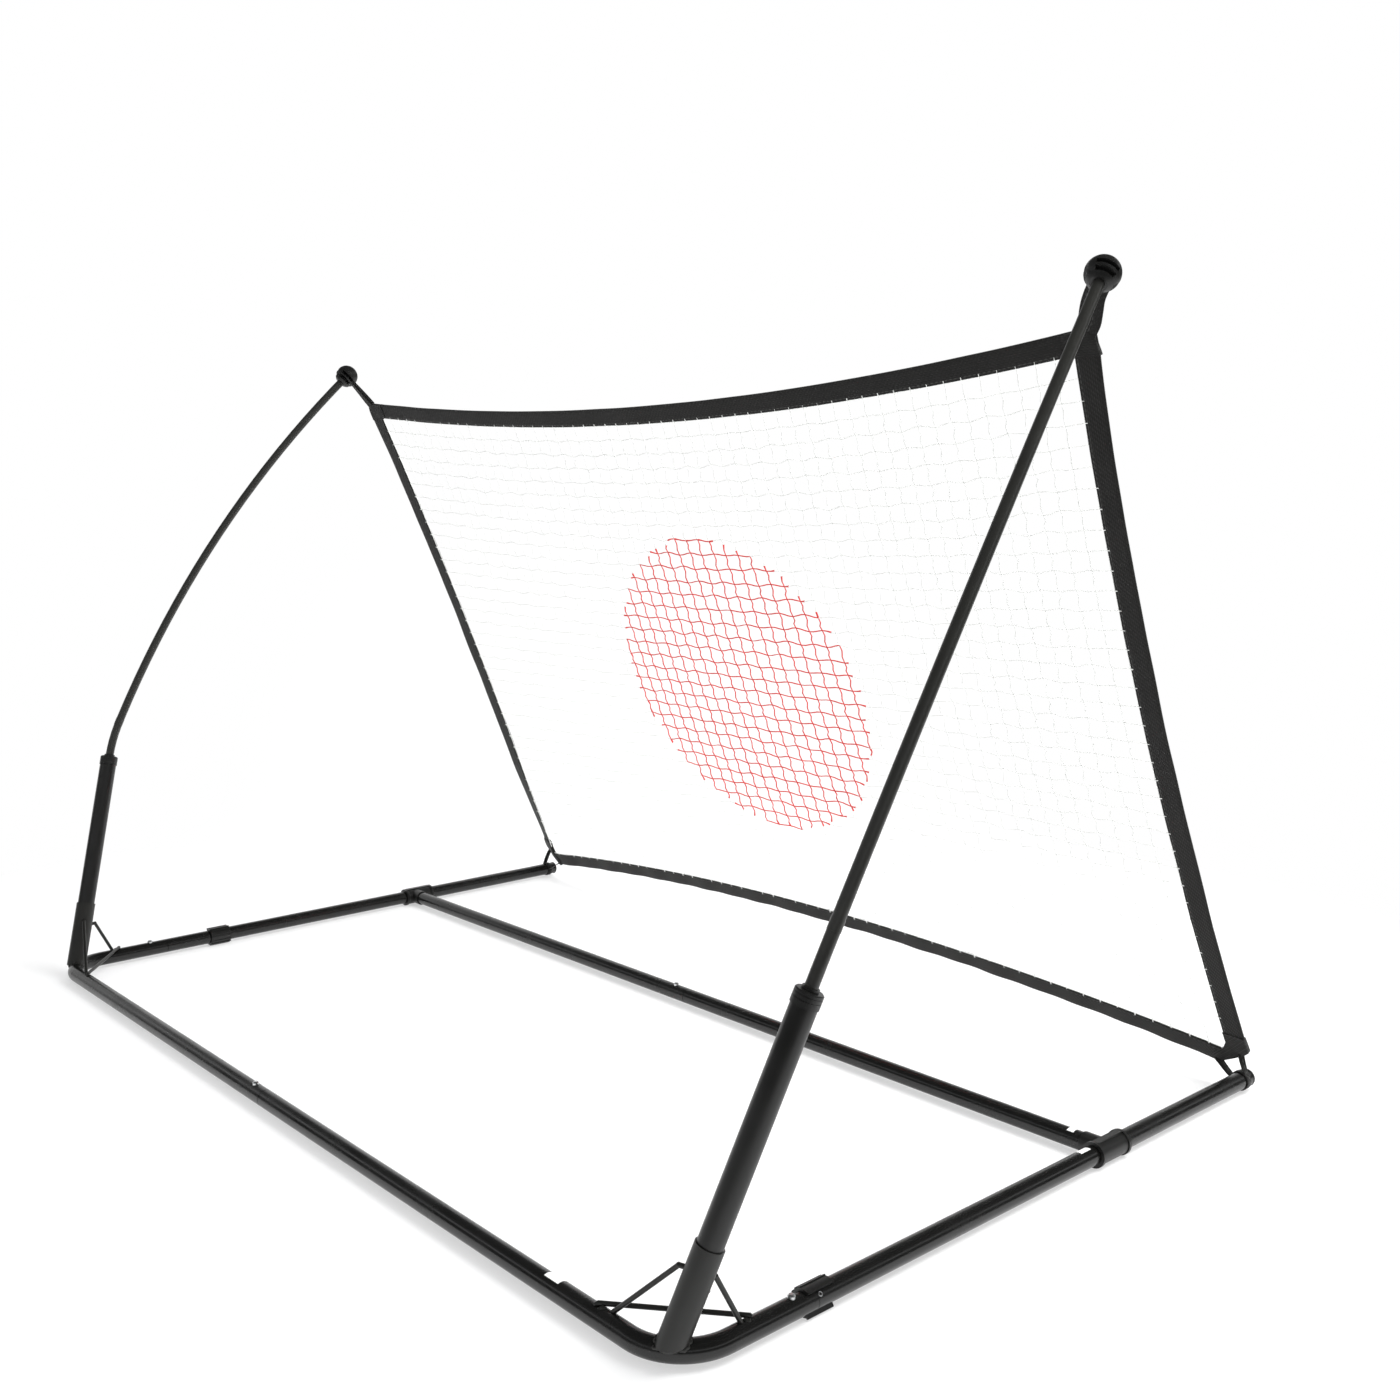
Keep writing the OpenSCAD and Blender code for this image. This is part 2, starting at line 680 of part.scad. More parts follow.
module cross_bar(side) {
    seam_at = frame_w / 2 + (side == left ? bar_seam_x : -bar_seam_x);
    solid_end = side == left ? seam_at - seam_gap : seam_at;
    button_x = side == left ? seam_at + button_inset : seam_at - button_inset;
    color(black_steel) corner(side) translate([0, -bar_y, 0]) difference() {
        union() {
            difference() {
                translate([bar_end_x, 0, 0]) rotate([0, 90, 0])
                    cylinder(r = tube_r, h = solid_end - bar_end_x);
                translate([bar_end_x - over, 0, 0]) rotate([0, 90, 0])
                    cylinder(r = tube_bore_r, h = solid_end - bar_end_x + (side == left ? 0 : 2 * over));
            }
            if (side == left) translate([seam_at, 0, 0]) rotate([0, 90, 0]) spigot();
        }
        if (side == left) translate([seam_at, 0, 0]) rotate([0, 90, 0]) spigot_bore();
        translate([button_x, 0, 0]) button_hole();
    }
}

// Moulded collar: it slides on the side tube and holds the bar's end in a cup
module bar_collar(side) {
    cup_r = tube_r + 1.8;
    length = collar_back + collar_front;
    color(black_plastic) corner(side) translate([0, -bar_y, 0]) difference() {
        union() {
            translate([0, collar_back, 0]) rotate([90, 0, 0]) {
                cylinder(r = collar_r, h = length);
                cylinder(r = rim_r, h = rim_w);
                translate([0, 0, length - rim_w]) cylinder(r = rim_r, h = rim_w);
                translate([0, 0, rim_w]) cylinder(r1 = rim_r, r2 = collar_r, h = rim_h);
            }
            rotate([0, 90, 0]) cylinder(r = cup_r, h = cup_len);
            translate([-4, -collar_front + rim_w, 0]) cube([8, length - 2 * rim_w, collar_r + 1.2]);
        }
        translate([0, collar_back + over, 0]) rotate([90, 0, 0])
            cylinder(r = tube_r + collar_fit, h = length + 2 * over);
        translate([bar_end_x - seat, 0, 0]) rotate([0, 90, 0])
            cylinder(r = tube_r + brush, h = cup_len);
    }
}

// ---- tube clips ----

// A C-shaped clip: the mouth faces away from the middle, with flared lips and ribs along it
module tube_clip(side) {
    bore_r = tube_r + collar_fit;
    outer_r = bore_r + clip_wall;
    lip_a = clip_mouth / 2;
    rear_end = button_inset - leg_len - button_r - (side == left ? clip_left_gap : clip_right_gap);
    mouth = 40;
    color(black_plastic) corner(side) translate([0, rear_end, 0]) rotate([90, 0, 0])
        difference() {
            union() {
                cylinder(r = outer_r, h = clip_len);
                for (a = [-72:24:72]) rotate([0, 0, a]) translate([outer_r - 1, -1.1, 0])
                    cube([1 + rim_r - outer_r, 2.2, clip_len]);
                for (s = [-1, 1]) rotate([0, 0, 180 + s * (lip_a + 3)])
                    translate([outer_r - 1.6, -1.6, 0]) cube([rim_r - outer_r + 1.6, 3.2, clip_len]);
            }
            translate([0, 0, -over]) cylinder(r = bore_r, h = clip_len + 2 * over);
            translate([0, 0, -over]) linear_extrude(height = clip_len + 2 * over)
                polygon([[0, 0], [-mouth * cos(lip_a), mouth * sin(lip_a)],
                    [-mouth, 0], [-mouth * cos(lip_a), -mouth * sin(lip_a)]]);
        }
}

// ---- snap buttons ----

flange_r = spigot_bore_r * 0.62;
flange_t = 2.6;
button_foot = sqrt(sq(spigot_bore_r - 0.1) - sq(flange_r)) - flange_t;

// A domed button on a flange that stops it inside the reduced end
module snap_button() {
    dome = 1.6;
    top = tube_r + button_out;
    translate([0, 0, button_foot]) cylinder(r = flange_r, h = flange_t);
    translate([0, 0, button_foot]) cylinder(r = button_r, h = top - dome - button_foot);
    translate([0, 0, top - dome]) cylinder(r1 = button_r, r2 = button_r - dome, h = dome);
}

// A strip of spring steel folded back on itself, with its open end under the button
module snap_spring() {
    low = -sqrt(sq(spigot_bore_r) - sq(spring_w / 2)) + 0.15;
    high = button_foot - seat;
    fold_r = 2.6;
    fold_x = spring_len - fold_r;
    fold_z = (low + high) / 2;
    function fold(r, a) =
        [for (k = [0:12]) let (b = a * (1 - k / 6)) [fold_x + r * cos(b), fold_z + r * sin(b)]];
    translate([-4, -spring_w / 2, 0]) rotate([90, 0, 0]) mirror([0, 0, 1])
        linear_extrude(height = spring_w)
            polygon(concat([[0, high - spring_t], [0, high], [8, high]], fold(fold_r, 90),
                [[8, low], [0, low], [0, low + spring_t], [8, low + spring_t]],
                fold(fold_r - spring_t, -90), [[8, high - spring_t]]));
}

rear_button_x = frame_w / 2 + rear_seam_x + button_inset;
bar_button_x = frame_w / 2 + bar_seam_x + button_inset;

module at_rear_button() {
    corner(left) translate([rear_button_x, 0, 0]) rotate([0, 0, 180]) children();
}

module at_bar_button() {
    corner(left) translate([bar_button_x, -bar_y, 0]) rotate([0, 0, 180]) children();
}

module at_leg_button(side) {
    corner(side) translate([0, button_inset - leg_len, 0]) rotate([0, 0, -90]) children();
}

corner_tube(left);  // corner_tube_left
corner_tube(right);  // corner_tube_right
side_tube(left);  // side_tube_left
side_tube(right);  // side_tube_right
end_cap(left);  // end_cap_left
end_cap(right);  // end_cap_right
pole_socket(left);  // pole_socket_left
pole_socket(right);  // pole_socket_right
corner_braces(left);  // corner_braces_left
corner_braces(right);  // corner_braces_right
pole_sleeve(left);  // pole_sleeve_left
pole_sleeve(right);  // pole_sleeve_right
sleeve_cap(left);  // sleeve_cap_left
sleeve_cap(right);  // sleeve_cap_right
rod_bush(left);  // rod_bush_left
rod_bush(right);  // rod_bush_right
bow_rod(left);  // bow_rod_left
bow_rod(right);  // bow_rod_right
tip_cap(left);  // tip_cap_left
tip_cap(right);  // tip_cap_right
tip_strap(left);  // tip_strap_left
tip_strap(right);  // tip_strap_right
top_band();
bottom_band();
side_band(left);  // side_band_left
side_band(right);  // side_band_right
net_mesh();
target_mesh();
top_patch(left);  // top_patch_left
top_patch(right);  // top_patch_right
foot_patch(left);  // foot_patch_left
foot_patch(right);  // foot_patch_right
foot_strap(left);  // foot_strap_left
foot_strap(right);  // foot_strap_right
cross_bar(left);  // cross_bar_left
cross_bar(right);  // cross_bar_right
bar_collar(left);  // bar_collar_left
bar_collar(right);  // bar_collar_right
tube_clip(left);  // tube_clip_left
tube_clip(right);  // tube_clip_right
color(bright_steel) at_rear_button() snap_button();  // rear_button
color(bright_steel) at_leg_button(left) snap_button();  // leg_button_left
color(bright_steel) at_leg_button(right) snap_button();  // leg_button_right
color(bright_steel) at_bar_button() snap_button();  // bar_button
color(bright_steel) at_rear_button() snap_spring();  // rear_spring
color(bright_steel) at_leg_button(left) snap_spring();  // leg_spring_left
color(bright_steel) at_leg_button(right) snap_spring();  // leg_spring_right
color(bright_steel) at_bar_button() snap_spring();  // bar_spring
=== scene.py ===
"""A golf chipping net: a three-sided base of black steel tube, two bow rods and a leaning net."""
import math

import bpy
from mathutils import Matrix, Vector, noise


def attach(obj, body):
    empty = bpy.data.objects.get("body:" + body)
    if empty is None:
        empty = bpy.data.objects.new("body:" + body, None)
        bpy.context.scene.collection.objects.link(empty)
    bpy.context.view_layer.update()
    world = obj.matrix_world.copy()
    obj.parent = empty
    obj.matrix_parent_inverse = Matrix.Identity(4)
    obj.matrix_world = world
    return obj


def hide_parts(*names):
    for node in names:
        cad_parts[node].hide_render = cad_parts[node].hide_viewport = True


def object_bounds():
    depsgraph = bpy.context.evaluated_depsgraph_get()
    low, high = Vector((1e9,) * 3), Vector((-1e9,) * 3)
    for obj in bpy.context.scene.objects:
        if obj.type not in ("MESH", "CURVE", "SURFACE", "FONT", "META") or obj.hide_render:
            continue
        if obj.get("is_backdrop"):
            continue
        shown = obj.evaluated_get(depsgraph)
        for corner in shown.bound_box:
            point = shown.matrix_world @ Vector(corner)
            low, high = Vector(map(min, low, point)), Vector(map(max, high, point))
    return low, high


# ---- The assembly's frame ----
# The tubes, collars, clips, rods and buttons come as they are made. Their sizes are real ones,
# in metres: the player stands on the -Y side and the ground is at height 0.
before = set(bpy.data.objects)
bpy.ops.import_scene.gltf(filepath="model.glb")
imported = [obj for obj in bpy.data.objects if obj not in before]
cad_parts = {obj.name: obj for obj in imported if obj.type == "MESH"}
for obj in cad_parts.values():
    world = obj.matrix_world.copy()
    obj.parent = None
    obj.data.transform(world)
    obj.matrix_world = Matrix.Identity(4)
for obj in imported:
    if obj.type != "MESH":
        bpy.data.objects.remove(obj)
made_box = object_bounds()
bpy.ops.object.select_all(action="DESELECT")

# ---- Camera ----
# A normal lens at the eye level of somebody who sits behind the net's left rear corner. It
# looks slightly down and across the net, towards the right front corner of the base.
EYE = Vector((-1.6454, 1.2678, 0.7515))
HEADING = -0.717452
TILT_DOWN = 0.131167
ROLL = -0.003712
FOCAL_PX = 1481.323
FRAME_PX = 1400
VIEW_CENTRE_PX = 672.615
SENSOR_MM = 36

bpy.ops.object.camera_add()
camera = bpy.context.object
camera.name = "camera"
camera.data.sensor_width = SENSOR_MM
camera.data.lens = FOCAL_PX / FRAME_PX * SENSOR_MM
camera.data.shift_x = 0.5 - VIEW_CENTRE_PX / FRAME_PX
camera.matrix_world = (
    Matrix.Translation(EYE)
    @ Matrix.Rotation(HEADING - math.pi / 2, 4, "Z")
    @ Matrix.Rotation(math.pi / 2 - TILT_DOWN, 4, "X")
    @ Matrix.Rotation(ROLL, 4, "Z")
)
bpy.context.scene.camera = camera
bpy.context.scene.view_settings.view_transform = "Standard"


# ---- Studio: floor and wall ----
# A roll of white paper: it lies under the net, turns up behind it and ends as a plain wall.
# Both look white by themselves and still take the net's soft shadows. Seen from behind they
# are clear, so that the wall hides the net from no side.
def tint(code):
    parts = [int(code[i:i + 2], 16) / 255 for i in (1, 3, 5)]
    return [c / 12.92 if c < 0.04045 else ((c + 0.055) / 1.055) ** 2.4 for c in parts] + [1.0]


def node(material, kind, sockets=None, **settings):
    made = material.node_tree.nodes.new("ShaderNode" + kind)
    for name, value in settings.items():
        setattr(made, name, value)
    for name, value in (sockets or {}).items():
        if isinstance(value, bpy.types.NodeSocket):
            material.node_tree.links.new(value, made.inputs[name])
        else:
            made.inputs[name].default_value = value
    return made


def new_material(name):
    material = bpy.data.materials.new(name)
    material.use_nodes = True
    material.node_tree.nodes.clear()
    return material


FLOOR_START = 0.55
WALL_DISTANCE = 3.33
WALL_HEIGHT = 0.95
PAPER_HALF = 3.5
PAPER_CURVE = 0.12
PAPER_STEPS = 24
FLAT_STEPS = 2
OWN_LIGHT = 0.5
SHADOW_REACH = 1.1
SHADOW_FADE = 0.45

paper = new_material("white studio paper")
geometry = node(paper, "NewGeometry")
away = node(paper, "VectorMath", {0: geometry.outputs["Position"]}, operation="LENGTH")
own_light = node(paper, "MapRange", {
    "Value": away.outputs["Value"], "From Min": SHADOW_REACH,
    "From Max": SHADOW_REACH + SHADOW_FADE, "To Min": OWN_LIGHT}, interpolation_type="SMOOTHSTEP")
matte = node(paper, "BsdfDiffuse", {"Color": tint("#ffffff")})
glow = node(paper, "Emission", {"Color": tint("#ffffff"), "Strength": 1.0})
ray = node(paper, "LightPath")
seen = node(paper, "Math", {0: ray.outputs["Is Camera Ray"], 1: ray.outputs["Is Glossy Ray"]},
            operation="MAXIMUM")
seen = node(paper, "Math", {0: seen.outputs[0], 1: ray.outputs["Is Transmission Ray"]},
            operation="MAXIMUM")
share = node(paper, "Math", {0: seen.outputs[0], 1: own_light.outputs["Result"]},
             operation="MULTIPLY")
from_front = node(paper, "MixShader", {0: share.outputs[0], 1: matte.outputs[0],
                                       2: glow.outputs[0]})
either_side = node(paper, "MixShader", {
    0: geometry.outputs["Backfacing"], 1: from_front.outputs[0],
    2: node(paper, "BsdfTransparent").outputs[0]})
node(paper, "OutputMaterial", {"Surface": either_side.outputs[0]})

ahead = Vector((math.cos(HEADING), math.sin(HEADING), 0))
aside = Vector((-ahead.y, ahead.x, 0))
curve_end = PAPER_STEPS - FLAT_STEPS
bpy.ops.mesh.primitive_grid_add(x_subdivisions=PAPER_STEPS, y_subdivisions=1, size=2)
backdrop = bpy.context.object
backdrop.name = "studio_paper"
for corner in backdrop.data.vertices:
    step = round((corner.co.x + 1) * PAPER_STEPS / 2)
    if step < FLAT_STEPS:
        run = FLOOR_START + (WALL_DISTANCE - PAPER_CURVE - FLOOR_START) * step / FLAT_STEPS
        rise = 0
    elif step > curve_end:
        run = WALL_DISTANCE
        rise = PAPER_CURVE + (WALL_HEIGHT - PAPER_CURVE) * (step - curve_end) / FLAT_STEPS
    else:
        turn = math.pi / 2 * (step - FLAT_STEPS) / (curve_end - FLAT_STEPS)
        run = WALL_DISTANCE - PAPER_CURVE + PAPER_CURVE * math.sin(turn)
        rise = PAPER_CURVE - PAPER_CURVE * math.cos(turn)
    corner.co = Vector((EYE.x, EYE.y, rise)) + ahead * run + aside * corner.co.y * PAPER_HALF
bpy.ops.object.shade_smooth()
backdrop.data.materials.append(paper)
backdrop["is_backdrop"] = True

# ---- Studio: light ----
# A white room lights the net from all round, and two wide lamps give the floor its soft shadows.
# Gloss sees a darker room than the one that lights the object, as in a studio with black flags,
# with one band of light round its walls that draws a thin streak along each tube.
ROOM_LIGHT = 0.74
ROOM_IN_GLOSS = 0.08
BAND_IN_GLOSS = 1.3
BAND_AT = 0.40
BAND_HALF = 0.05

room = bpy.data.worlds.new("white room")
room.use_nodes = True
bpy.context.scene.world = room
room.node_tree.nodes.clear()
air = node(room, "LightPath")
height = node(room, "SeparateXYZ", {"Vector": node(room, "TexCoord").outputs["Generated"]})
wall_band = node(room, "Math", {0: height.outputs["Z"], 1: BAND_AT, 2: BAND_HALF},
                 operation="COMPARE")
gloss_level = node(room, "MapRange", {"Value": wall_band.outputs[0], "To Min": ROOM_IN_GLOSS,
                                      "To Max": BAND_IN_GLOSS})
room_level = node(room, "Mix", {0: air.outputs["Is Glossy Ray"], 2: ROOM_LIGHT,
                                3: gloss_level.outputs["Result"]})
room_lit = node(room, "Background", {"Color": tint("#f8f9fa"), "Strength": room_level.outputs[0]})
room_seen = node(room, "Background", {"Color": tint("#ffffff"), "Strength": 1.0})
room_shown = node(room, "MixShader", {0: air.outputs["Is Camera Ray"], 1: room_lit.outputs[0],
                                      2: room_seen.outputs[0]})
node(room, "OutputWorld", {"Surface": room_shown.outputs[0]})

for name, spot, aim, size, power in (
    ("overhead_lamp", (-1.7, -1.2, 3.1), (0, 0, 0), 1.8, 112),
    ("side_lamp", (-2.4, -2.6, 1.9), (0, 0, 0.4), 2.2, 24),
):
    bpy.ops.object.light_add(type="AREA", location=spot)
    lamp = bpy.context.object
    lamp.name = name
    lamp.data.size = size
    lamp.data.energy = power
    lamp.visible_glossy = False
    lamp.rotation_euler = (Vector(aim) - Vector(spot)).to_track_quat("-Z", "Y").to_euler()

# ---- Base tubes and cross bar ----
# 22.2 mm steel tube, bent, swaged at one end and powder-coated black. The coat is melted
# powder: it is smooth with a faint orange peel and gives the tube one soft streak of light.
SIDES = ((-1, "left"), (1, "right"))
COAT_IOR = 1.5
COAT_CLOUD_MM = 45
CLOUD_LOW = 0.3
CLOUD_HIGH = 0.7
ROUGHNESS_LESS = 0.05
ROUGHNESS_MORE = 0.06


def bump_from(material, height, distance, strength=1.0):
    bump = node(material, "Bump", {"Height": height, "Distance": distance, "Strength": strength})
    return bump.outputs[0]


def powder_coat(name, dark, light, roughness, peel_mm, peel_depth_mm):
    material = new_material(name)
    where = node(material, "TexCoord").outputs["Object"]
    peel = node(material, "TexNoise", {"Vector": where, "Scale": 1000 / peel_mm, "Detail": 2.0})
    cloud = node(material, "TexNoise", {"Vector": where, "Scale": 1000 / COAT_CLOUD_MM,
                                        "Detail": 3.0})
    colour = node(material, "Mix", {"Factor": cloud.outputs["Fac"], 6: tint(dark), 7: tint(light)},
                  data_type="RGBA")
    uneven = node(material, "MapRange", {
        "Value": cloud.outputs["Fac"], "From Min": CLOUD_LOW, "From Max": CLOUD_HIGH,
        "To Min": roughness - ROUGHNESS_LESS, "To Max": roughness + ROUGHNESS_MORE})
    surface = node(material, "BsdfPrincipled", {
        "Base Color": colour.outputs[2], "Roughness": uneven.outputs["Result"], "IOR": COAT_IOR,
        "Normal": bump_from(material, peel.outputs["Fac"], peel_depth_mm / 1000)})
    node(material, "OutputMaterial", {"Surface": surface.outputs[0]})
    return material


def finish_nodes(names, material):
    for name in names:
        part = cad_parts[name]
        part.data.materials.clear()
        part.data.materials.append(material)


def both(*parts):
    """The names of the left and the right node of each part."""
    return [f"{part}_{word}" for part in parts for _, word in SIDES]


tube_coat = powder_coat("black powder coat, semi-gloss", "#0e0e0d", "#151514",
                        roughness=0.24, peel_mm=2.6, peel_depth_mm=0.012)
finish_nodes(both("corner_tube", "side_tube", "cross_bar"), tube_coat)

# ---- Labels on the tubes ----
# Blank stickers of white coated paper, wrapped part of the way round a tube beside a joint:
# one on the rear tube, one on the left side tube and one on the cross bar.
CORNER_X = 0.75
REAR_Y = 0.48595
AXIS_Z = 0.01518
TUBE_R = 0.0111
BAR_Y = -0.655
LABEL_T = 0.00004
FIBRE_MM = 0.8
SHARP_FROM = math.radians(40)
X_WAY = Vector((1, 0, 0))
Y_WAY = Vector((0, 1, 0))


def at_corner(side, x, y, z):
    """A place measured from the point where the rear and side tubes' axes would cross."""
    return Vector((side * (CORNER_X - x), REAR_Y + y, AXIS_Z + z))


def only(piece):
    bpy.ops.object.select_all(action="DESELECT")
    piece.select_set(True)
    bpy.context.view_layer.objects.active = piece


def dress(piece, material, body, slot_name, *nodes):
    piece.data.materials.clear()
    piece.data.materials.append(material)
    if nodes:
        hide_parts(*nodes)
    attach(piece, body)


def tube_label(name, centre, along, aside_way, length, first, last):
    """Turns are counted in degrees from straight up, over towards aside_way."""
    bpy.ops.object.select_all(action="DESELECT")
    bpy.ops.mesh.primitive_grid_add(x_subdivisions=4, y_subdivisions=18, size=2)
    label = bpy.context.object
    label.name = name
    for corner in label.data.vertices:
        turn = math.radians(first + (last - first) * (corner.co.y + 1) / 2)
        out = Vector((0, 0, math.cos(turn))) + aside_way * math.sin(turn)
        corner.co = centre + along * length / 2 * corner.co.x + out * (TUBE_R + LABEL_T)
    only(label)
    bpy.ops.object.mode_set(mode="EDIT")
    bpy.ops.mesh.select_all(action="SELECT")
    bpy.ops.mesh.normals_make_consistent(inside=False)
    bpy.ops.object.mode_set(mode="OBJECT")
    sheet = label.modifiers.new("paper", "SOLIDIFY")
    sheet.thickness = LABEL_T
    sheet.offset = 0
    bpy.ops.object.modifier_apply(modifier="paper")
    bpy.ops.object.shade_smooth_by_angle(angle=SHARP_FROM)
    return label


label_paper = new_material("white coated paper")
fibres = node(label_paper, "TexNoise", {"Vector": node(label_paper, "TexCoord").outputs["Object"],
                                        "Scale": 1000 / FIBRE_MM, "Detail": 3.0})
label_white = node(label_paper, "Mix", {"Factor": fibres.outputs["Fac"], 6: tint("#f4f4f1"),
                                        7: tint("#ffffff")}, data_type="RGBA")
label_skin = node(label_paper, "BsdfPrincipled", {"Base Color": label_white.outputs[2],
                                                  "Roughness": 0.35})
node(label_paper, "OutputMaterial", {"Surface": label_skin.outputs[0]})

for name, centre, along, aside_way, length, first, last, body in (
    ("rear_label", at_corner(-1, 0.174, 0, 0), X_WAY, -Y_WAY, 0.022, -22, 110, "frame"),
    ("side_label_left", at_corner(-1, 0, -0.614, 0), Y_WAY, X_WAY, 0.018, -14, 120, "frame"),
    ("bar_label", at_corner(-1, 0.0426, BAR_Y, 0), X_WAY, -Y_WAY, 0.009, -30, 100, "cross_bar"),
):
    label = tube_label(name, centre, along, aside_way, length, first, last)
    dress(label, label_paper, body, "white_netting")

# ---- Pole sockets and corner braces ----
# Thicker tube, saddled over the bend and welded, with wires that brace it to the rear tube and
# the side tube. They got a duller coat than the tubes, with a coarser orange peel.
socket_coat = powder_coat("black powder coat, matt", "#161614", "#1f1f1c",
                          roughness=0.42, peel_mm=3.5, peel_depth_mm=0.04)
finish_nodes(both("pole_socket", "corner_braces"), socket_coat)

# ---- Welds ----
# The socket is welded to the bend with one hand-laid bead and each wire is tacked at its ends.
# The coat runs over them, so they show as small overlapping lumps of the same black.
BEND_R = 0.062
SOCKET_FOOT = Vector((0.02223, -0.01109, 0))
POLE_LEAN = Vector((-0.2254, -0.3038, 1))
SOCKET_R = 0.0134
SADDLE_HALF = 0.0092
SADDLE_PASSES = 4
BEAD_R = 0.0024
BEAD_LUMPS = 23
BEAD_OUT = 0.0018
BEAD_WAVER = 0.0008
BEAD_SWELL = 0.4
WAVER_STEP = 0.9
WAVER_ROW = (0.4, 0.2)
WIRE_FEET = ((0.074, Vector((0.101, 0, 0.011))), (0.063, Vector((0, -0.084, 0.011))))
TIE_ENDS = (Vector((0.108, 0, 0.0133)), Vector((0, -0.090, 0.0133)))
TACK_R = 0.0026
TACK_OUT = 0.0008
TACK_LUMPS = ((Vector((0, 0, 0)), 1), (Vector((0.0022, 0.0018, -0.0010)), 0.8),
              (Vector((-0.0021, -0.0016, -0.0004)), 0.85))
TIE_LUMPS = ((Vector((0, 0, 0)), 0.8), (Vector((0.0015, 0.0015, -0.0012)), 0.8))
WELD_GRAIN = 0.0006


def saddle_spot(turn):
    """The place where the socket's wall meets the bent tube, at this turn round the socket."""
    middle = Vector((BEND_R, -BEND_R, 0))
    rise = 0
    for _ in range(SADDLE_PASSES):
        out = Vector((math.cos(turn), math.sin(turn), 0))
        spot = SOCKET_FOOT + out * (SOCKET_R + BEAD_OUT)
        spot += Vector((POLE_LEAN.x, POLE_LEAN.y, 0)) * rise
        off = max(-SADDLE_HALF, min(SADDLE_HALF, (spot - middle).length - BEND_R))
        rise = math.sqrt(TUBE_R ** 2 - off ** 2)
    spot = middle + (spot - middle).normalized() * (BEND_R + off)
    return Vector((spot.x, spot.y, rise))


def weld_lumps():
    """Each lump's place and radius."""
    for lump in range(BEAD_LUMPS):
        waver = noise.noise(Vector((lump * WAVER_STEP, *WAVER_ROW)))
        spot = saddle_spot(math.tau * lump / BEAD_LUMPS)
        yield spot + Vector((0, 0, BEAD_WAVER * waver)), BEAD_R * (1 + BEAD_SWELL * waver)
    for height, foot in WIRE_FEET:
        on_axis = SOCKET_FOOT + POLE_LEAN * height
        root = on_axis + (foot - on_axis).normalized() * (SOCKET_R + TACK_OUT)
        for spot in (root, foot):
            for shift, size in TACK_LUMPS:
                yield spot + shift, TACK_R * size
    for spot in TIE_ENDS:
        for shift, size in TIE_LUMPS:
            yield spot + shift, TACK_R * size


for side, word in SIDES:
    lumps = []
    for spot, radius in weld_lumps():
        bpy.ops.object.select_all(action="DESELECT")
        bpy.ops.mesh.primitive_ico_sphere_add(subdivisions=2, radius=radius,
                                              location=at_corner(side, *spot))
        lumps.append(bpy.context.object)
    for lump in lumps:
        lump.select_set(True)
    bpy.ops.object.join()
    weld = bpy.context.object
    weld.name = f"welds_{word}"
    bpy.ops.object.transform_apply(location=True, rotation=True, scale=True)
    melt = weld.modifiers.new("melted together", "REMESH")
    melt.mode = "VOXEL"
    melt.voxel_size = WELD_GRAIN
    bpy.ops.object.modifier_apply(modifier="melted together")
    bpy.ops.object.shade_smooth()
    dress(weld, socket_coat, "frame", "black_steel")

# ---- Pole sleeves, caps and bushes ----
# A 25.4 mm tube drops into each socket. A moulded cap and a bush inside it hold the rod. The
# collars, the clips and the other caps are of the same black polypropylene, which has a soft
# sheen and a fine grain.
PLASTIC_IOR = 1.49

sleeve_coat = powder_coat("black powder coat, satin", "#0f0f0e", "#151514",
                          roughness=0.34, peel_mm=3.0, peel_depth_mm=0.02)
finish_nodes(both("pole_sleeve"), sleeve_coat)


def moulded_plastic(name, colour, roughness, grain_mm, grain_depth_mm):
    material = new_material(name)
    where = node(material, "TexCoord").outputs["Object"]
    grain = node(material, "TexNoise", {"Vector": where, "Scale": 1000 / grain_mm, "Detail": 3.0})
    surface = node(material, "BsdfPrincipled", {
        "Base Color": tint(colour), "Roughness": roughness, "IOR": PLASTIC_IOR,
        "Normal": bump_from(material, grain.outputs["Fac"], grain_depth_mm / 1000)})
    node(material, "OutputMaterial", {"Surface": surface.outputs[0]})
    return material


cap_plastic = moulded_plastic("black polypropylene, moulded", "#181817",
                              roughness=0.4, grain_mm=1.6, grain_depth_mm=0.04)
finish_nodes(both("sleeve_cap", "rod_bush", "end_cap", "bar_collar", "tube_clip", "tip_cap"),
             cap_plastic)

# ---- Bow rods ----
# 12.7 mm rod, bent by the pull of the net. Its enamel is greyer and duller than the coat of the
# tubes, so the rods stand paler against the white.
rod_coat = powder_coat("black enamel on the rods", "#242422", "#2d2d2a",
                       roughness=0.34, peel_mm=4.0, peel_depth_mm=0.015)
finish_nodes(both("bow_rod"), rod_coat)

# ---- Snap buttons and springs ----
# Spring steel, pressed and left bare: bright, with a fine brushed grain. The springs are shut
# inside the tubes, and only the domes of the buttons come out through their holes.
BRUSH_GRAINS_PER_M = 700.0

spring_steel = new_material("spring steel, brushed")
grain = node(spring_steel, "TexNoise", {"Vector": node(spring_steel, "TexCoord").outputs["Object"],
                                        "Scale": BRUSH_GRAINS_PER_M, "Detail": 4.0})
steel_rough = node(spring_steel, "MapRange", {"Value": grain.outputs["Fac"], "To Min": 0.2,
                                              "To Max": 0.38})
steel = node(spring_steel, "BsdfPrincipled", {
    "Base Color": tint("#d4d6d6"), "Metallic": 1.0, "Roughness": steel_rough.outputs["Result"]})
node(spring_steel, "OutputMaterial", {"Surface": steel.outputs[0]})
finish_nodes(["rear_button", "bar_button", "rear_spring", "bar_spring"]
             + both("leg_button", "leg_spring"), spring_steel)

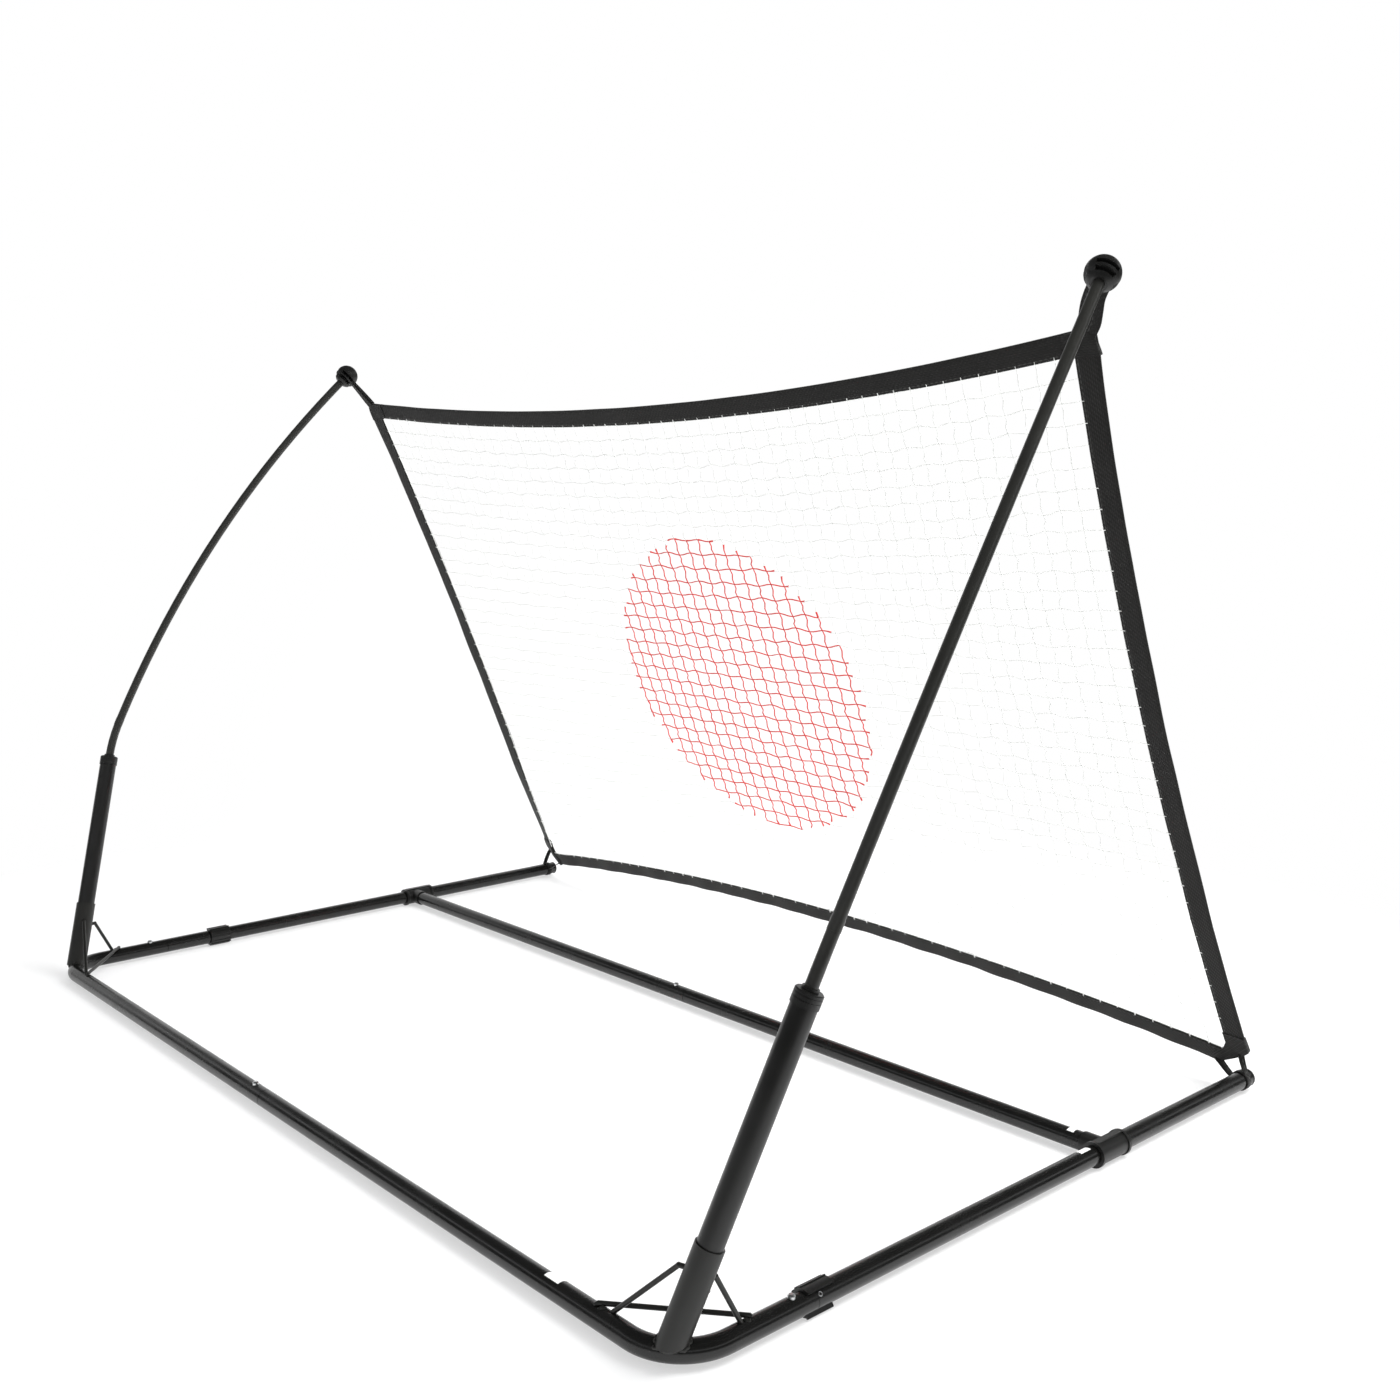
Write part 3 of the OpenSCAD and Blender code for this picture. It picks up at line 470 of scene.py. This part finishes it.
# ---- Rims of the spare holes ----
# Each side tube has a second hole just behind its snap button. Its edge is bare steel, which
# shows as a thin bright ring in the black coat.
RIM_Y = -0.172
RIM_TURN = math.radians(50)
RIM_R = 0.0020
RIM_WIRE_R = 0.0005

for side, word in SIDES:
    out = Vector((side * math.sin(RIM_TURN), 0, math.cos(RIM_TURN)))
    bpy.ops.object.select_all(action="DESELECT")
    bpy.ops.mesh.primitive_torus_add(major_radius=RIM_R, minor_radius=RIM_WIRE_R,
                                     major_segments=24, minor_segments=8)
    rim = bpy.context.object
    rim.name = f"hole_rim_{word}"
    rim.data.transform(Matrix.Translation(at_corner(side, 0, RIM_Y, 0) + out * TUBE_R)
                       @ out.to_track_quat("Z", "Y").to_matrix().to_4x4())
    bpy.ops.object.shade_smooth()
    dress(rim, spring_steel, "frame", "bright_steel")

# ---- Net ----
# Knotless polyester netting, about 26 by 23 mm, white with a round target in red. It is
# stretched in one leaning plane between its bands, and its strands wander a little.
NET_FOOT = Vector((0, -0.49405, 0.02018))
NET_LEAN = math.radians(23.4)
NET_HALF_W = 0.748
NET_TOP = 0.996
NET_BOTTOM = 0.006
TOP_SAG = 0.047
BOTTOM_RISE = 0.055
WAIST_HALF_W = 0.734
WAIST_UP = 0.59
SIDE_CURVE = 0.085
TOP_BAND = 0.0265
SIDE_BAND = 0.0285
BOTTOM_BAND = 0.0245
BELLY = 0.006
CELLS_ACROSS = 56
CELLS_UP = 37
WHITE_D = 0.0014
RED_D = 0.0019
STRAND_STEPS = 3
STRAY = 0.0022
STRAY_STEP = 0.9
STRAY_LAYERS = (3.1, 8.7)
SWAY = 0.0018
KINK = 0.0016
EDGE_FADE = 12
END_SWELL = 1.5
CURL_TOP = 0.34
CURL_HEIGHT = 0.30
CURL_FROM = 0.7195
CURL_TURN = math.radians(18)
TARGET = (-0.016, 0.494)
TARGET_R = 0.254
TWIST_MM = 1.2
TWIST_DEPTH = 0.0002


def on_plane(u, v, w=0.0):
    """u to the right, v up the slope, w towards the player."""
    lean_s, lean_c = math.sin(NET_LEAN), math.cos(NET_LEAN)
    return NET_FOOT + Vector((u, v * lean_s - w * lean_c, v * lean_c + w * lean_s))


def on_net(u, v, w=0.0):
    """The same, with the right edge curled towards the player near the foot, by its strap."""
    share = min(1, max(0, (CURL_TOP - v) / CURL_HEIGHT))
    turn = CURL_TURN * share * share * (3 - 2 * share)
    past = max(0, u - CURL_FROM)
    return on_plane(u + past * (math.cos(turn) - 1), v, w + past * math.sin(turn))


def arch(share):
    return 1 - share * share


def top_edge(u):
    return NET_TOP - TOP_SAG * arch(u / NET_HALF_W)


def bottom_edge(u):
    return NET_BOTTOM + BOTTOM_RISE * arch(u / NET_HALF_W)


def side_edge(v):
    return WAIST_HALF_W + SIDE_CURVE * (v - WAIST_UP) ** 2


def mesh_place(across, up):
    """across and up run from -1 to 1 inside the bands."""
    u = across * (NET_HALF_W - SIDE_BAND)
    low, high = bottom_edge(u) + BOTTOM_BAND, top_edge(u) - TOP_BAND
    v = low + (high - low) * (up + 1) / 2
    return across * (side_edge(v) - SIDE_BAND), v


def in_target(u, v):
    return math.hypot(u - TARGET[0], v - TARGET[1]) < TARGET_R


def grid_strands(name, red, thickness):
    bpy.ops.mesh.primitive_grid_add(x_subdivisions=CELLS_ACROSS, y_subdivisions=CELLS_UP, size=2)
    net = bpy.context.object
    net.name = name
    bpy.ops.object.mode_set(mode="EDIT")
    bpy.ops.mesh.select_all(action="SELECT")
    bpy.ops.mesh.delete(type="ONLY_FACE")
    bpy.ops.mesh.select_all(action="SELECT")
    bpy.ops.mesh.subdivide(number_cuts=STRAND_STEPS - 1)
    bpy.ops.object.mode_set(mode="OBJECT")
    flat = {}
    for knot in net.data.vertices:
        across, up = knot.co.x, knot.co.y
        column, row = (across + 1) / 2 * CELLS_ACROSS, (up + 1) / 2 * CELLS_UP
        stray_u, stray_v = (
            STRAY * noise.noise(Vector((column * STRAY_STEP, row * STRAY_STEP, layer)))
            for layer in STRAY_LAYERS)
        u, v = mesh_place(across, up)
        inside = min(1, EDGE_FADE * (1 - abs(across)), EDGE_FADE * (1 - abs(up)))
        u += inside * (stray_u + SWAY * math.sin(2 * math.pi * row))
        v += inside * (stray_v + KINK * math.cos(math.pi * (column + row)))
        flat[knot.index] = (u, v)
        knot.co = on_net(u, v, -BELLY * arch(across) * arch(up))
    bpy.ops.object.mode_set(mode="EDIT")
    bpy.ops.mesh.select_all(action="DESELECT")
    bpy.ops.mesh.select_mode(type="EDGE")
    bpy.ops.object.mode_set(mode="OBJECT")
    for strand in net.data.edges:
        ends = [in_target(*flat[k]) for k in strand.vertices]
        strand.select = all(ends) != red
    bpy.ops.object.mode_set(mode="EDIT")
    bpy.ops.mesh.delete(type="EDGE")
    bpy.ops.object.mode_set(mode="OBJECT")
    only(net)
    bpy.ops.object.convert(target="CURVE")
    net = bpy.context.object
    net.data.bevel_depth = thickness / 2
    net.data.bevel_resolution = 0
    net.data.use_fill_caps = True
    for spline in net.data.splines:
        for end in (spline.points[0], spline.points[-1]):
            end.radius = END_SWELL
    bpy.ops.object.convert(target="MESH")
    net = bpy.context.object
    bpy.ops.object.shade_smooth()
    return net


def netting_cord(name, colour):
    material = new_material(name)
    where = node(material, "TexCoord").outputs["Object"]
    twist = node(material, "TexNoise", {"Vector": where, "Scale": 1000 / TWIST_MM, "Detail": 2.0})
    surface = node(material, "BsdfPrincipled", {
        "Base Color": tint(colour), "Roughness": 0.75, "Sheen Weight": 0.2,
        "Normal": bump_from(material, twist.outputs["Fac"], TWIST_DEPTH)})
    node(material, "OutputMaterial", {"Surface": surface.outputs[0]})
    return material


white_cord = netting_cord("white polyester cord", "#f2f3f0")
red_cord = netting_cord("red polyester cord", "#dc3029")
for name, is_red, thickness, cord, stands_for, slot_name in (
    ("net_white_strands", False, WHITE_D, white_cord, "net_mesh", "white_netting"),
    ("net_red_strands", True, RED_D, red_cord, "target_mesh", "red_netting"),
):
    strands = grid_strands(name, is_red, thickness)
    dress(strands, cord, "frame", slot_name, stands_for)

# ---- Bands round the net ----
# Polyester webbing, folded in two over the net's edge and lock-stitched along its inner side.
# The weave is drawn at 2.6 mm, twice its real pitch, so that it shows.
BAND_T = 0.0026
BAND_EDGE = 0.0008
WEAVE_MM = 2.6
WEFT_SHARE = 0.8
CLOTH_RELIEF = 0.0004
WEAR_MM = 60
STITCH_IN = 0.0035
STITCH_HALF = 0.0006
STITCH_PITCH = 0.007
BOTTOM_END = 0.722
BOTTOM_WAVE = 0.0006
BOTTOM_WAVE_RATE = 90
SIDE_START = 0.05
FLARE = 0.0026
FLARE_FROM = 0.85
FLARE_HEIGHT = 0.12
RIPPLE_RATE = 14
RIPPLE_LAYER = 1.7
EDGE_RIPPLE = 0.0012
SIDE_RIPPLE = 0.0015
WAVE_UNIT = math.tau / 20


def webbing(name, dark, light, thread_colour):
    material = new_material(name)
    along = node(material, "UVMap").outputs["UV"]
    spacing = WAVE_UNIT / (WEAVE_MM / 1000)
    warp = node(material, "TexWave", {"Vector": along, "Scale": spacing}, bands_direction="Y")
    weft = node(material, "TexWave", {
        "Vector": along, "Scale": spacing * WEFT_SHARE, "Distortion": 1.5, "Detail Scale": 2.0},
        bands_direction="DIAGONAL")
    weave = node(material, "Math", {0: warp.outputs["Fac"], 1: weft.outputs["Fac"]},
                 operation="MULTIPLY")
    across = node(material, "SeparateXYZ", {"Vector": along})
    dashes = node(material, "TexWave", {"Vector": along, "Scale": WAVE_UNIT / STITCH_PITCH},
                  bands_direction="X")
    on_line = node(material, "Math", {0: across.outputs["Y"], 1: STITCH_IN, 2: STITCH_HALF},
                   operation="COMPARE")
    thread = node(material, "Math", {0: on_line.outputs[0], 1: dashes.outputs["Fac"]},
                  operation="MULTIPLY")
    wear = node(material, "TexNoise", {"Vector": node(material, "TexCoord").outputs["Object"],
                                       "Scale": 1000 / WEAR_MM, "Detail": 4.0})
    cloth = node(material, "Mix", {"Factor": wear.outputs["Fac"], 6: tint(dark), 7: tint(light)},
                 data_type="RGBA")
    colour = node(material, "Mix", {"Factor": thread.outputs[0], 6: cloth.outputs[2],
                                    7: tint(thread_colour)}, data_type="RGBA")
    relief = node(material, "Math", {0: weave.outputs[0], 1: thread.outputs[0]}, operation="ADD")
    surface = node(material, "BsdfPrincipled", {
        "Base Color": colour.outputs[2], "Roughness": 0.86, "Specular IOR Level": 0.3,
        "Sheen Weight": 0.15, "Sheen Roughness": 0.5,
        "Normal": bump_from(material, relief.outputs[0], CLOTH_RELIEF, strength=0.8)})
    node(material, "OutputMaterial", {"Surface": surface.outputs[0]})
    return material


black_webbing = webbing("black polyester webbing", "#121110", "#1c1b19", "#3a3a38")


def strip(name, cells_long, cells_wide, place, length, width):
    """A flat strip of cloth: place gives each point for its shares along and across."""
    bpy.ops.mesh.primitive_grid_add(x_subdivisions=cells_long, y_subdivisions=cells_wide, size=2)
    cloth = bpy.context.object
    cloth.name = name
    for corner in cloth.data.vertices:
        corner.co = place((corner.co.x + 1) / 2, (corner.co.y + 1) / 2)
    for spot in cloth.data.uv_layers.active.data:
        spot.uv = (spot.uv.x * length, spot.uv.y * width)
    return cloth


def thicken(cloth, thickness, rounding):
    only(cloth)
    wall = cloth.modifiers.new("cloth", "SOLIDIFY")
    wall.thickness = thickness
    wall.offset = 0
    edge = cloth.modifiers.new("edge", "BEVEL")
    edge.width = rounding
    edge.segments = 2
    edge.limit_method = "ANGLE"
    edge.angle_limit = math.radians(50)
    for step in ("cloth", "edge"):
        bpy.ops.object.modifier_apply(modifier=step)
    bpy.ops.object.shade_smooth_by_angle(angle=SHARP_FROM)


def ripple(u, v, size):
    return size * noise.noise(Vector((u * RIPPLE_RATE, v * RIPPLE_RATE, RIPPLE_LAYER)))


def top_band_place(along, across):
    u = (2 * along - 1) * NET_HALF_W
    v = top_edge(u) - TOP_BAND * (1 - across)
    return on_net(u, v, ripple(u, v, EDGE_RIPPLE))


def bottom_band_place(along, across):
    u = (2 * along - 1) * BOTTOM_END
    v = bottom_edge(u) + BOTTOM_BAND * (1 - across)
    return on_net(u, v, ripple(u, v, EDGE_RIPPLE) + BOTTOM_WAVE * math.sin(BOTTOM_WAVE_RATE * u))


def side_band_place(side):
    def place(along, across):
        v = SIDE_START + along * (NET_TOP - TOP_BAND - SIDE_START)
        flare = FLARE * max(0, (v - FLARE_FROM) / FLARE_HEIGHT) ** 2
        u = side_edge(v) + flare * across - SIDE_BAND * (1 - across)
        return on_net(side * u, v, ripple(u, v, SIDE_RIPPLE))
    return place


EDGE_L = 2 * NET_HALF_W
SIDE_L = NET_TOP - NET_BOTTOM
for name, cells, place, length, width, stands_for in (
    ("top_webbing", 120, top_band_place, EDGE_L, TOP_BAND, "top_band"),
    ("bottom_webbing", 120, bottom_band_place, EDGE_L, BOTTOM_BAND, "bottom_band"),
    ("side_webbing_left", 90, side_band_place(-1), SIDE_L, SIDE_BAND, "side_band_left"),
    ("side_webbing_right", 90, side_band_place(1), SIDE_L, SIDE_BAND, "side_band_right"),
):
    band = strip(name, cells, 4, place, length, width)
    thicken(band, BAND_T, BAND_EDGE)
    dress(band, black_webbing, "frame", "black_webbing", stands_for)

# ---- Whip stitches ----
# Each strand's end is caught in the band with one turn of the net's own white cord. It shows
# on both faces of the band as a short pale nick.
STITCH_W = 0.0012
STITCH_L = 0.0044
STITCH_SHIFT = 0.3
STITCH_PROUD = 0.0008
STITCH_EDGE = 0.0004


def stitch_spots():
    for column in range(1, CELLS_ACROSS):
        across = 2 * column / CELLS_ACROSS - 1
        for up in (-1, 1):
            u, v = mesh_place(across, up)
            yield u, v + up * STITCH_L * STITCH_SHIFT, 0
    for row in range(1, CELLS_UP):
        up = 2 * row / CELLS_UP - 1
        for across in (-1, 1):
            u, v = mesh_place(across, up)
            yield u + across * STITCH_L * STITCH_SHIFT, v, math.pi / 2


bpy.ops.mesh.primitive_cube_add(size=1)
first_stitch = bpy.context.object
for corner in first_stitch.data.vertices:
    corner.co = (corner.co.x * STITCH_W, corner.co.y * STITCH_L,
                 corner.co.z * (BAND_T + STITCH_PROUD))
rounded = first_stitch.modifiers.new("rounding", "BEVEL")
rounded.width = STITCH_EDGE
rounded.segments = 1
bpy.ops.object.modifier_apply(modifier="rounding")
off_net = on_plane(0, 0, 1) - on_plane(0, 0)
net_axes = Matrix((on_plane(1, 0) - on_plane(0, 0), on_plane(0, 1) - on_plane(0, 0),
                   off_net)).transposed().to_4x4()
turns = []
for u, v, turn in stitch_spots():
    loop = first_stitch.copy()
    loop.data = first_stitch.data.copy()
    bpy.context.collection.objects.link(loop)
    loop.data.transform(Matrix.Translation(on_net(u, v)) @ net_axes
                        @ Matrix.Rotation(turn, 4, "Z"))
    turns.append(loop)
bpy.ops.object.select_all(action="DESELECT")
bpy.data.objects.remove(first_stitch)
for loop in turns:
    loop.select_set(True)
bpy.context.view_layer.objects.active = turns[0]
bpy.ops.object.join()
whip = bpy.context.object
whip.name = "whip_stitches"
dress(whip, white_cord, "frame", "white_netting")

# ---- Corner patches ----
# More of the webbing, folded over each corner and sewn through, so it is thicker and softer.
# At the foot the side band turns the corner in one and ends as the patch's pointed toe.
PATCH_T = 0.0062
PATCH_INSET = 0.0016
PATCH_EDGE = 0.0018
PATCH_RIPPLE = 0.0012
PATCH_RIPPLE_RATE = 90
TOP_PATCH = ((0.7465, 0.9885), (0.7360, 0.9925), (0.7060, 0.9900), (0.7050, 0.9665),
             (0.7200, 0.9630), (0.7485, 0.9640))
FOOT_PATCH = ((0.7580, 0.0600), (0.7610, 0.0390), (0.7515, 0.0305), (0.7300, 0.0190),
              (0.7120, 0.0090), (0.7080, 0.0200), (0.7250, 0.0350), (0.7305, 0.0480),
              (0.7290, 0.0620))


def patch_piece(name, outline, side, stands_for):
    bpy.ops.object.select_all(action="DESELECT")
    bpy.ops.mesh.primitive_circle_add(vertices=len(outline), fill_type="NGON")
    patch = bpy.context.object
    patch.name = name
    for corner, (u, v) in zip(patch.data.vertices, outline):
        corner.co = on_net(side * u, v)
    bpy.ops.object.mode_set(mode="EDIT")
    bpy.ops.mesh.select_all(action="SELECT")
    bpy.ops.mesh.inset(thickness=PATCH_INSET)
    bpy.ops.mesh.select_all(action="SELECT")
    bpy.ops.mesh.quads_convert_to_tris()
    bpy.ops.mesh.subdivide(number_cuts=3)
    bpy.ops.mesh.normals_make_consistent(inside=False)
    bpy.ops.object.mode_set(mode="OBJECT")
    cloth_map = patch.data.uv_layers.active.data
    for loop in patch.data.loops:
        spot = patch.data.vertices[loop.vertex_index].co
        cloth_map[loop.index].uv = (spot.x, (spot.z - NET_FOOT.z) / math.cos(NET_LEAN))
    for corner in patch.data.vertices:
        corner.co.y += PATCH_RIPPLE * noise.noise(corner.co * PATCH_RIPPLE_RATE)
    thicken(patch, PATCH_T, PATCH_EDGE)
    dress(patch, black_webbing, "frame", "black_webbing", stands_for)


for side, word in SIDES:
    patch_piece(f"top_corner_{word}", TOP_PATCH, side, f"top_patch_{word}")
    patch_piece(f"foot_corner_{word}", FOOT_PATCH, side, f"foot_patch_{word}")

# ---- Straps at the pole tips ----
# Two legs of 13.5 mm webbing leave each cap through its slots, one under the other and a little
# to each side, and are sewn to the front and the back of the net's corner. The right pair is
# drawn together under its pull.
TIP = Vector((-0.02297, -0.55757, 0.96584))
ROD_END = Vector((0.16882, -0.69262, 0.70127))
STRAP_HEAD = (NET_HALF_W - 0.0115, NET_TOP - 0.0065)
STRAP_W = 0.0135
STRAP_T = 0.0016
STRAP_SLOT = 0.0018
STRAP_SPREAD = 0.0052
STRAP_START = 0.16
INNER_BULGE = 0.003
OUTER_SWING = -0.0018
DRAWN_IN = 0.3
RIBBON_EDGE = 0.3
JUST_SHORT = 1e-6


def ribbon(name, line, turns, width, thickness, cells):
    """line and turns are lists of points and of width directions, blended smoothly along it."""
    spans = len(line) - 1
    length = sum((b - a).length for a, b in zip(line, line[1:]))

    def place(along, across):
        at = min(along * spans, spans - JUST_SHORT)
        k, part = int(at), at - int(at)
        before, after = line[max(k - 1, 0)], line[min(k + 2, spans)]
        a, b = line[k], line[k + 1]
        spot = 0.5 * (2 * a + (b - before) * part
                      + (2 * before - 5 * a + 4 * b - after) * part ** 2
                      + (3 * a - before - 3 * b + after) * part ** 3)
        turn = turns[k].lerp(turns[k + 1], part).normalized()
        return spot + turn * width * (across - 0.5)

    cloth = strip(name, cells, 4, place, length, width)
    thicken(cloth, thickness, thickness * RIBBON_EDGE)
    return cloth


for side, word in SIDES:
    tip = at_corner(side, *TIP)
    rod_end = Vector((-side * ROD_END.x, ROD_END.y, ROD_END.z))
    knot = on_net(side * STRAP_HEAD[0], STRAP_HEAD[1])
    run = (knot - tip).normalized()
    out_at_cap = rod_end.cross(run).normalized() * side
    out_at_net = off_net.cross(run).normalized() * side
    for leg, name in ((-1, "inner"), (1, "outer")):
        line, turns = [], []
        for part in (0, 0.25, 0.5, 0.75, 1):
            share_down = STRAP_START + (1 - STRAP_START) * part
            out = out_at_cap.lerp(out_at_net, part).normalized()
            deep = rod_end.lerp(off_net, part).normalized()
            if leg < 0:
                bulge = INNER_BULGE * math.sin(math.pi * part)
            else:
                bulge = OUTER_SWING * math.sin(math.tau * part)
            spread = (STRAP_SPREAD + bulge) * (1 if side < 0 else DRAWN_IN)
            line.append(tip.lerp(knot, share_down) + out * leg * spread - deep * leg * STRAP_SLOT)
            turns.append(out)
        strap = ribbon(f"tip_strap_{word}_{name}", line, turns, STRAP_W, STRAP_T, cells=16)
        stands_for = [f"tip_strap_{word}"] if name == "outer" else []
        dress(strap, black_webbing, "frame", "black_webbing", *stands_for)

# ---- Straps at the foot ----
# A loop of narrow webbing goes round the tube just behind its end cap, with one leg to the
# corner patch and one to the end of the bottom band.
LOOP_Y = -0.966
LOOP_W = 0.009
LOOP_T = 0.0014
LOOP_EDGE = 0.0004
LOOP_SLACK = 0.0002
LOOP_R = TUBE_R + LOOP_SLACK + LOOP_T / 2
LEG_BOW = Vector((0, 0.001, 0))
LEG_TURN = 0.7


def loop_place(side):
    def place(along, across):
        turn = math.tau * along
        return at_corner(side, LOOP_R * math.cos(turn), LOOP_Y + LOOP_W * (across - 0.5),
                         LOOP_R * math.sin(turn))
    return place


for side, word in SIDES:
    loop = strip(f"foot_loop_{word}", 32, 3, loop_place(side), math.tau * LOOP_R, LOOP_W)
    bpy.ops.object.mode_set(mode="EDIT")
    bpy.ops.mesh.select_all(action="SELECT")
    bpy.ops.mesh.remove_doubles(threshold=0.00001)
    bpy.ops.mesh.normals_make_consistent(inside=False)
    bpy.ops.object.mode_set(mode="OBJECT")
    thicken(loop, LOOP_T, LOOP_EDGE)
    dress(loop, black_webbing, "frame", "black_webbing", f"foot_strap_{word}")
    for name, root, head, way, width in (
        ("outer", (-0.6, 0.8), (0.7480, 0.0360), X_WAY, 0.0080),
        ("inner", (0.97, 0.2), (0.7130, 0.0160), Vector((-0.3 * side, 0.85, -0.43)), 0.0105),
    ):
        low = at_corner(side, LOOP_R * root[0], LOOP_Y, LOOP_R * root[1])
        high = on_net(side * head[0], head[1])
        leg = ribbon(f"foot_leg_{word}_{name}", [low, low.lerp(high, 0.5) + LEG_BOW, high],
                     [Y_WAY, Y_WAY + way * LEG_TURN, way], width, LOOP_T, cells=10)
        dress(leg, black_webbing, "frame", "black_webbing")

# ---- Sizes ----
# The box round the solids and the box round the dressed net are kept side by side, in metres.
[[list(corner) for corner in box] for box in (made_box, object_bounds())]
